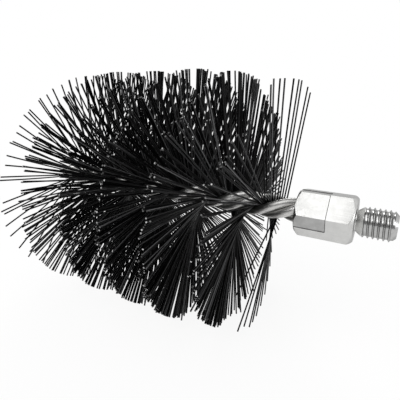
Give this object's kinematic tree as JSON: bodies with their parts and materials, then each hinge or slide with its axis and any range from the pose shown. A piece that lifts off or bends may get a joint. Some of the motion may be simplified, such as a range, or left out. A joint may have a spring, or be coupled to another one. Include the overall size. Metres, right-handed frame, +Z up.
{
  "type": "flue brush",
  "caption": "Round flue brush: a double spiral of stiff black bristles on a twisted wire stem, crimped into a hexagonal connector with a threaded stud for a rod.",
  "frame": {"origin": "centre of the flat end face of the threaded stud, on the axis of the stem", "axes": "+X along the stem, out of the brush through the stud; +Z up with the brush lying on its bristles"},
  "size_m": [0.144, 0.092, 0.0915],
  "materials": {
    "connector": "satin, machined",
    "stem_wire": "dull galvanised",
    "bristle": "satin black"
  },
  "bodies": {
    "root": {"threaded_connector": "connector", "stem_wire_1": "stem_wire", "stem_wire_2": "stem_wire", "stem_wire_3": "stem_wire", "stem_wire_4": "stem_wire", "bristle_bundle_01": "bristle", "bristle_bundle_02": "bristle", "bristle_bundle_03": "bristle", "bristle_bundle_04": "bristle", "bristle_bundle_05": "bristle", "bristle_bundle_06": "bristle", "bristle_bundle_07": "bristle", "bristle_bundle_08": "bristle", "bristle_bundle_09": "bristle", "bristle_bundle_10": "bristle", "bristle_bundle_11": "bristle", "bristle_bundle_12": "bristle", "bristle_bundle_13": "bristle", "bristle_bundle_14": "bristle", "bristle_bundle_15": "bristle", "bristle_bundle_16": "bristle", "bristle_bundle_17": "bristle", "bristle_bundle_18": "bristle"}
  },
  "joints": []
}
